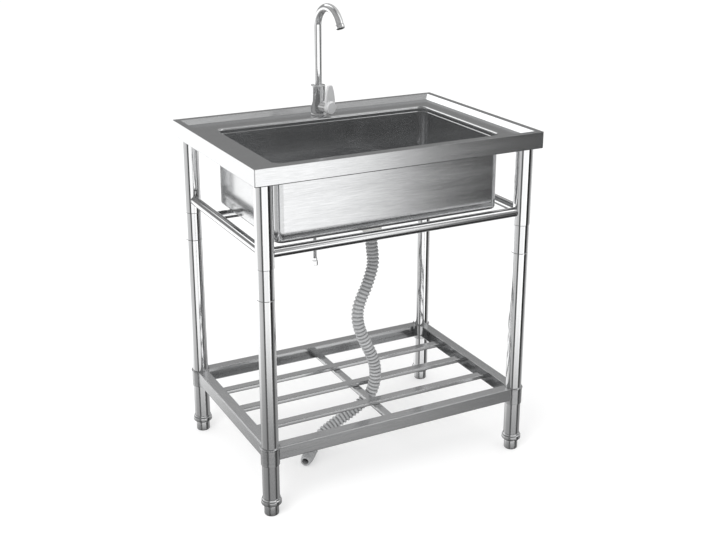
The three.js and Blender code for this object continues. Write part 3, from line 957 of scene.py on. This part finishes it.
# tap body and spout
tapForm = {
    "ring": [
        (14.6, 0), (19.6, 0), (20, 0.5), (20, 2.2), (19.4, 3.4), (18.4, 4), (14.6, 4),
    ],
    "bodyFoot": [(0, 0), (16.8, 0), (17.6, 0.4), (18, 1.4), (18, 24)],  # up from the body's base
    "bodyHead": [  # from the body's top
        (18, -2), (17.5, -0.6), (16.6, 0), (15.2, 0), (14.6, -0.6), (14.2, -2.6), (13.4, -3),
        (10.6, -3), (10.5, -3.4), (10.5, -18), (0, -18),
    ],
    "bodyTop": 862,
    "facets": 96,
    "spoutRadius": 10,
    "spoutWall": 1.5,
    "spoutSides": 48,
    "socketDepth": 17.6,
    "bendRadius": 50,
    "bendStart": 1001,
    "bendAngle": 152,  # degrees
    "bendSteps": 44,
    "tail": 8.5,
    "turn": 6,  # degrees from the front towards the right
    "aerator": [
        (6, 0.3), (9.8, 0.3), (10.6, 1), (10.8, 1.8), (10.8, 7.6), (10.2, 9), (9.4, 9.5),
        (8.2, 9.5), (7.9, 9), (7.9, 4), (6, 4),
    ],
    "aeratorMesh": [(0, 5.4), (7.7, 5.4), (7.7, 6), (0, 6)],
}


def makeTapBody(form):
    tap = middleOf("faucet_body")
    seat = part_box("faucet_base_ring")[0][2]
    ring = turnedPiece("tapBaseRing", form["ring"], (tap.x, tap.y, seat), facets=form["facets"])
    finished(ring, "faucet_base_ring", "chromePlate")
    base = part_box("faucet_body")[0][2] / mm
    outline = [(r, base + t) for r, t in form["bodyFoot"]]
    outline += [(r, form["bodyTop"] + t) for r, t in form["bodyHead"]]
    body = turnedPiece("tapBody", outline, (tap.x, tap.y, 0), facets=form["facets"])
    finished(body, "faucet_body", "chromePlate")


def makeSpout(form):
    tap = middleOf("faucet_body")
    swing = math.radians(form["turn"])
    reach = Vector((math.sin(swing), -math.cos(swing), 0))
    axis = (math.cos(swing), math.sin(swing), 0)
    start = (form["bodyTop"] - form["socketDepth"]) * mm
    bendStart = form["bendStart"] * mm
    bendRadius = form["bendRadius"] * mm
    bend = Vector((tap.x, tap.y, bendStart)) + reach * bendRadius
    sweep = math.radians(form["bendAngle"])
    tailWay = reach * math.sin(sweep) + Vector((0, 0, math.cos(sweep)))
    tail = tailWay * form["tail"] * mm
    clearSelection()
    bpy.ops.mesh.primitive_circle_add(
        vertices=form["spoutSides"],
        radius=form["spoutRadius"] * mm,
        location=(tap.x, tap.y, start),
    )
    spout = openForEditing("tapSpout")
    pushEdges((0, 0, bendStart - start))
    bpy.ops.mesh.spin(steps=form["bendSteps"], angle=-sweep, center=bend, axis=axis)
    pushEdges(tail)
    cleanMesh()
    thickened(spout, form["spoutWall"], even=False)
    finished(spout, "spout", "chromePlate", "spout_arm", angle=50, evenShading=False)

    mouth = bend + (Vector((0, 0, math.sin(sweep))) - reach * math.cos(sweep)) * bendRadius + tail
    aerator = turnedPiece("aerator", form["aerator"], mouth, tailWay, facets=64)
    finished(aerator, "aerator", "chromePlate", "spout_arm")
    mesh = turnedPiece("aeratorMesh", form["aeratorMesh"], mouth, tailWay, facets=48)
    finished(mesh, None, "gasketRubber", "spout_arm")


makeTapBody(tapForm)
makeSpout(tapForm)


# lever: a round hub with a flat blade that stands upright
leverForm = {
    "turn": 70,  # degrees from straight right towards the front
    "height": 811,
    "hub": [
        (0, 34), (13.6, 34), (14.7, 34.3), (15.3, 34.9), (15.5, 35.8), (15.5, 44.2), (15.3, 45.2),
        (14.8, 46), (13.8, 46.6), (12, 46.9), (0, 47),
    ],
    "bladeThick": 7,
    "bladeAt": 39,
    "thinning": 0.95,  # from each station to the next
    "stations": [(2, 14.2), (18, 15.4), (38, 12.2), (49, 8.6), (54, 6.2)],  # height, half width
    "edge": 1.3,
}


def makeLever(form):
    tap = middleOf("faucet_body")
    axisZ = form["height"] * mm
    turn = math.radians(form["turn"])
    along = (math.cos(turn), -math.sin(turn), 0)
    hub = turnedPiece("leverHub", form["hub"], (tap.x, tap.y, axisZ), along, facets=72)
    finished(hub, "lever", "satinChrome", "lever_handle")

    stations = form["stations"]
    foot, wide = stations[0]
    spot = Vector((tap.x + form["bladeAt"] * mm, tap.y, axisZ + foot * mm))
    clearSelection()
    bpy.ops.mesh.primitive_plane_add(size=1, location=spot)
    blade = openForEditing("leverBlade")
    bpy.ops.transform.resize(
        value=(form["bladeThick"] * mm, 2 * wide * mm, 1), center_override=spot
    )
    for (lowAt, lowWide), (highAt, highWide) in zip(stations, stations[1:]):
        pushFaces((0, 0, (highAt - lowAt) * mm))
        spot.z = axisZ + highAt * mm
        narrowed = (form["thinning"], highWide / lowWide, 1)
        bpy.ops.transform.resize(value=narrowed, center_override=spot)
    cleanMesh()
    bpy.ops.transform.rotate(value=turn, orient_axis="Z", center_override=(tap.x, tap.y, 0))
    softened(blade, form["edge"], segments=4, angle=20)
    finished(blade, "lever", "satinChrome", "lever_handle")


makeLever(leverForm)
print("strainer and tap made")


# upper frame: posts under the deck, and rails between them
postTube = {"radius": 20, "wall": 1.2, "edge": 0.5}
railTube = {"radius": 11, "wall": 1.2, "edge": 0.3, "inPost": 17.1, "facets": 64}
supportBar = {"radius": 10, "wall": 1.2, "edge": 0.3, "endGap": 9, "facets": 56}


def tubeOutline(form, low, high):  # its outer edges are slightly rounded
    radius = form["radius"]
    edge = form["edge"]
    inner = radius - form["wall"]
    return [
        (inner, low), (radius - edge, low), (radius, low + edge), (radius, high - edge),
        (radius - edge, high), (inner, high),
    ]


def makeUprights(name, node, form):
    low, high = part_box(f"{node}_{cornerNames[0]}")
    onePerCorner(name, node, tubeOutline(form, low[2] / mm, high[2] / mm), "polishedTube")


def makeCrossTube(name, node, form, centre, along, reach, finishName):
    outline = tubeOutline(form, -reach, reach)
    piece = turnedPiece(name, outline, centre, along, form["facets"])
    finished(piece, node, finishName)


def makeRail(side, along, post, finishName):
    node = f"{side}_rail"
    reach = post - railTube["inPost"]
    makeCrossTube(f"{side}Rail", node, railTube, middleOf(node), along, reach, finishName)


def makeSupportBar(form):
    node = "bowl_support_bar"
    low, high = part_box(node)
    middle = middleOf(node)
    middle.z = low[2] + form["radius"] * mm
    reach = (high[0] - low[0]) / 2 / mm - form["endGap"]
    makeCrossTube("supportBar", node, form, middle, (1, 0, 0), reach, "polishedRailX")


makeUprights("postTube", "upper_post", postTube)
postX, postY = (abs(c) / mm for c in middleOf("upper_post_front_left").xy)
makeRail("front", (1, 0, 0), postX, "polishedRailX")
for railSide in ("left", "right"):
    makeRail(railSide, (0, 1, 0), postY, "polishedRailY")
makeSupportBar(supportBar)


# legs, their joint sleeves, and the screw feet
jointSleeve = {
    "radius": 18.8,
    "edge": 0.5,
    "gap": 0.3,  # to the tubes above and below, as the next two are
    "round": 0.9,
    "plain": 3,
    "bore": 15.5,
    "inLeg": 17.4,
    "inPost": 18.4,
}
legTube = {"radius": 19, "wall": 1.2, "edge": 0.6}


def makeJoints(form):
    corner = cornerNames[0]
    low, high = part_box(f"leg_joint_{corner}")
    foot = low[2] / mm
    head = high[2] / mm
    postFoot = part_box(f"upper_post_{corner}")[0][2] / mm
    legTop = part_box(f"leg_{corner}")[1][2] / mm
    radius = form["radius"]
    edgeRadius = radius - form["edge"]
    outline = [
        (form["bore"], foot), (form["inLeg"], foot), (form["inLeg"], legTop + form["gap"]),
        (edgeRadius, legTop + form["gap"]), (radius, legTop + form["round"]),
        (radius, legTop + form["plain"]), (radius, postFoot - form["plain"]),
        (radius, postFoot - form["round"]), (edgeRadius, postFoot - form["gap"]),
        (form["inPost"], postFoot - form["gap"]), (form["inPost"], head), (form["bore"], head),
    ]
    onePerCorner("jointSleeve", "leg_joint", outline, "polishedTube")


makeJoints(jointSleeve)
makeUprights("legTube", "leg", legTube)

footCollar = [
    (6.5, 24.3), (16.8, 24.3), (17.6, 24.6), (21.6, 27), (22.6, 27.9), (23, 29), (23, 35.4),
    (22.7, 36.8), (21.8, 38), (20.8, 39), (20.4, 41.6), (19.9, 42), (19.3, 42), (19.3, 29.7),
    (17.5, 29.7), (17.5, 60), (6.5, 60),
]
screwFoot = [
    (0, 0), (13, 0), (15, 0.5), (16.1, 1.6), (16.4, 3), (16.4, 10), (16.4, 22.4), (16, 23.4),
    (15, 24), (6, 24), (6, 72), (0, 72),
]
onePerCorner("footCollar", "foot_collar", footCollar, "satinRing")
onePerCorner("screwFoot", "foot", screwFoot, "satinRing", "screw_foot_{corner}")
print("frame and legs made")


# shelf: sleeves on the legs, channels that open inwards, and slats between them
shelfSleeve = [
    (19.3, 124), (20.5, 124), (21, 124.5), (21, 162.6), (22, 163.2), (22.4, 164), (22.4, 165.2),
    (22, 165.8), (21.4, 166), (19.7, 166), (19.3, 165.6),
]
shelfChannel = {
    "wide": 25,
    "high": 32,
    "inPost": 17.2,
    "fold": 2.2,
    "foldSteps": 5,
    "sheet": 1.5,
    "edge": 0.4,
}
shelfSlat = {"wall": 1.2, "edge": 2, "edgeSteps": 4}
onePerCorner("shelfSleeve", "shelf_sleeve", shelfSleeve, "satinRing")


def addBlock(name, spot, size):  # a box in edit mode
    clearSelection()
    bpy.ops.mesh.primitive_cube_add(size=1, location=spot)
    piece = openForEditing(name)
    bpy.ops.transform.resize(value=tuple(size), center_override=spot)
    return piece


def makeChannel(side, form):  # a box without its ends and its inward face, given its thickness
    node = f"shelf_rail_{side}"
    spot = middleOf(node)
    long = 0 if side in ("front", "back") else 1
    across = 1 - long
    inward = -1 if side in ("back", "right") else 1
    size = Vector((form["wide"], form["wide"], form["high"])) * mm
    size[long] = 2 * ((postX, postY)[long] - form["inPost"]) * mm
    piece = addBlock(f"shelfChannel_{side}", spot, size)

    def isOpen(face):
        offset = face.calc_center_median() - spot
        isEnd = abs(abs(offset[long]) - size[long] / 2) < near
        return isEnd or abs(offset[across] - inward * size[across] / 2) < near

    pick(piece, "FACE", isOpen)
    bpy.ops.mesh.delete(type="FACE")
    pick(piece, "EDGE", lambda edge: len(edge.link_faces) == 2)  # the two folds
    bpy.ops.mesh.bevel(offset=form["fold"] * mm, segments=form["foldSteps"])
    thickened(piece, form["sheet"])
    softened(piece, form["edge"])
    finished(piece, node, ("satinX", "satinY")[long])


def makeSlat(name, node, long, form):  # a flat tube along x or y: its ends stay open
    low, high = (Vector(c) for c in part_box(node))
    piece = addBlock(name, (low + high) / 2, high - low)
    pick(piece, "FACE", lambda face: abs(face.normal[long]) > 0.9)
    bpy.ops.mesh.delete(type="FACE")
    softened(piece, form["edge"], form["edgeSteps"])
    thickened(piece, form["wall"], even=False)
    finished(piece, node, ("satinX", "satinY")[long])


for shelfSide in ("front", "back", "left", "right"):
    makeChannel(shelfSide, shelfChannel)
for slatNumber in (1, 2, 3):
    makeSlat(f"shelfSlat_{slatNumber}", f"shelf_slat_{slatNumber}", 0, shelfSlat)
makeSlat("shelfCrossbar", "shelf_crossbar", 1, shelfSlat)
print("shelf made")


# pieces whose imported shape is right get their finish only
keptNodes = {
    "strainer_gasket": "gasketRubber",
    "strainer_locknut": "fittingPlastic",
    "strainer_tail": "fittingPlastic",
    "valve_bonnet": "chromePlate",
    "faucet_shank": "chromePlate",
    "shank_washer": "gasketRubber",
    "shank_nut": "chromePlate",
}
for nodeName, finishName in keptNodes.items():
    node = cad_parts[nodeName]
    node.data.materials.clear()
    node.data.materials.append(finishes[finishName]["material"])


# floor and light
studio = {
    "floorSize": 160,
    "floorDrop": 0.2,
    "floorColour": (0.5, 0.5, 0.5),
    "floorGlow": 0.45,
    "softFrom": (-0.5, -0.45, 0.74),  # where the soft light is strongest
    "softLight": (0.62, 1.4),
    "seenBehind": (1.0, 1.0, 1.0),
}
windowLight = {"place": (-2.2, -1.7, 2.3), "target": (0, 0, 0.4), "size": 1.6, "power": 60}


def makeFloor(form):
    clearSelection()
    bpy.ops.mesh.primitive_plane_add(size=form["floorSize"], location=(0, 0, -form["floorDrop"] * mm))
    floor = bpy.context.active_object
    floor.name = "studioFloor"
    material, tree, shader = newMaterial("studioFloor")
    wire(tree, shader, {
        "Base Color": (*form["floorColour"], 1),
        "Roughness": 1.0,
        "Specular IOR Level": 0.0,
        "Emission Color": (1, 1, 1, 1),
        "Emission Strength": form["floorGlow"],
    })
    floor.data.materials.append(material)
    floor.visible_glossy = False  # steel mirrors the studio's screens instead


def makeWindowLight(form):
    light = bpy.data.lights.new("windowLight", "AREA")
    light.energy = form["power"]
    light.size = form["size"]
    holder = bpy.data.objects.new("windowLight", light)
    holder.location = form["place"]
    aim = Vector(form["place"]) - Vector(form["target"])
    holder.rotation_euler = aim.to_track_quat("Z", "Y").to_euler()
    holder.visible_glossy = False
    bpy.context.collection.objects.link(holder)


# screens that the steel mirrors: degrees clockwise from straight behind the sink, brightness
screensLow = [
    (0, 1.4), (52, 1.3), (58, 0.05), (66, 0.05), (72, 1.0), (84, 0.9), (90, 0.25), (112, 0.3),
    (118, 0.03), (138, 0.02), (146.5, 0.04), (149, 0.25), (151, 1.0), (153, 1.5), (158, 1.65),
    (165, 1.2), (198, 1.2), (219, 1.3), (224, 0.1), (240, 0.1), (246, 0.6), (268, 0.7), (296, 0.8),
    (308, 1.4), (332, 1.5), (345, 1.5), (360, 1.4),
]
screensMiddle = [
    (0, 0.26), (12, 0.24), (40, 0.24), (60, 0.4), (80, 0.6), (110, 0.6), (130, 0.3), (147, 0.2),
    (150.5, 1.3), (153.5, 1.3), (157, 0.2), (250, 0.2), (330, 0.25), (350, 0.2), (360, 0.26),
]
screensHigh = [
    (0, 0.36), (40, 0.36), (60, 0.45), (113, 0.5), (119, 1.5), (130, 1.5), (136, 0.3), (200, 0.2),
    (300, 0.2), (328, 0.4), (338, 1.5), (350, 1.5), (360, 0.36),
]
screensGround = [
    (0, 0.3), (110, 0.3), (118, 0.08), (136, 0.08), (142, 0.26), (160, 0.3), (215, 0.3),
    (222, 0.1), (238, 0.12), (246, 0.3), (300, 0.35), (325, 0.5), (345, 0.5), (360, 0.3),
]
screenBands = [  # the height in degrees over which each one takes over from the one before
    (screensGround, None), (screensLow, (-28, -23)), (screensMiddle, (-2, 4)), (screensHigh, (22, 28)),
]
screensUp = [  # degrees up, brightness
    (-90, 0.08), (-60, 0.12), (-45, 0.4), (-34, 0.85), (-27, 1.0), (-11, 1.0), (-6, 0.75),
    (3, 0.75), (9, 1.0), (20, 1.0), (28, 1.5), (40, 1.2), (65, 1.0), (76, 0.4), (90, 0.25),
]


def addRamp(tree, value, stops):  # the value is 0 at the first stop and 1 at the last
    ramp = addNode(tree, "ShaderNodeValToRGB", {"Fac": value})
    elements = ramp.color_ramp.elements
    elements.remove(elements[0])
    low, high = stops[0][0], stops[-1][0]
    for i, (at, bright) in enumerate(stops):
        where = (at - low) / (high - low)
        stop = elements[0] if i == 0 else elements.new(where)
        stop.position = where
        stop.color = (bright, bright, bright, 1)
    return ramp.outputs["Color"]


def addScreens(tree, place):
    split = addNode(tree, "ShaderNodeSeparateXYZ", {"Vector": place}).outputs
    around = addMath(tree, "ARCTAN2", split["X"], split["Y"])
    turn = addRange(tree, around, -math.pi, math.pi, -0.5, 0.5)
    turn = addMath(tree, "WRAP", turn, 1.0, 0.0)
    up = addMath(tree, "ARCSINE", split["Z"])
    level = None
    for stops, span in screenBands:
        ramp = addRamp(tree, turn, stops)
        if level is None:
            level = ramp
        else:
            above = addRange(tree, up, *map(math.radians, span), 0, 1)
            level = addMix(tree, above, level, ramp)
    upShare = addRange(tree, up, -math.pi / 2, math.pi / 2, 0, 1)
    return addMix(tree, 1.0, level, addRamp(tree, upShare, screensUp), "MULTIPLY")


def makeSky(form):  # matt surfaces see soft light, glossy ones the screens, the camera a plain ground
    world = bpy.data.worlds.new("studioSky")
    bpy.context.scene.world = world
    world.use_nodes = True
    tree = world.node_tree
    tree.nodes.clear()
    place = placeOn(tree, "Generated")
    sockets = {0: place, 1: form["softFrom"]}
    toLight = addNode(tree, "ShaderNodeVectorMath", sockets, operation="DOT_PRODUCT")
    soft = addRange(tree, toLight.outputs["Value"], -1, 1, *form["softLight"])
    ray = tree.nodes.new("ShaderNodeLightPath").outputs
    mirrored = addMix(tree, ray["Is Glossy Ray"], soft, addScreens(tree, place))
    seen = addMix(tree, ray["Is Camera Ray"], mirrored, (*form["seenBehind"], 1))
    sky = addNode(tree, "ShaderNodeBackground", {"Color": seen})
    addNode(tree, "ShaderNodeOutputWorld", {"Surface": sky.outputs["Background"]})
    bpy.context.scene.view_settings.view_transform = "Standard"


makeFloor(studio)
makeWindowLight(windowLight)
makeSky(studio)
print("floor and light ready")
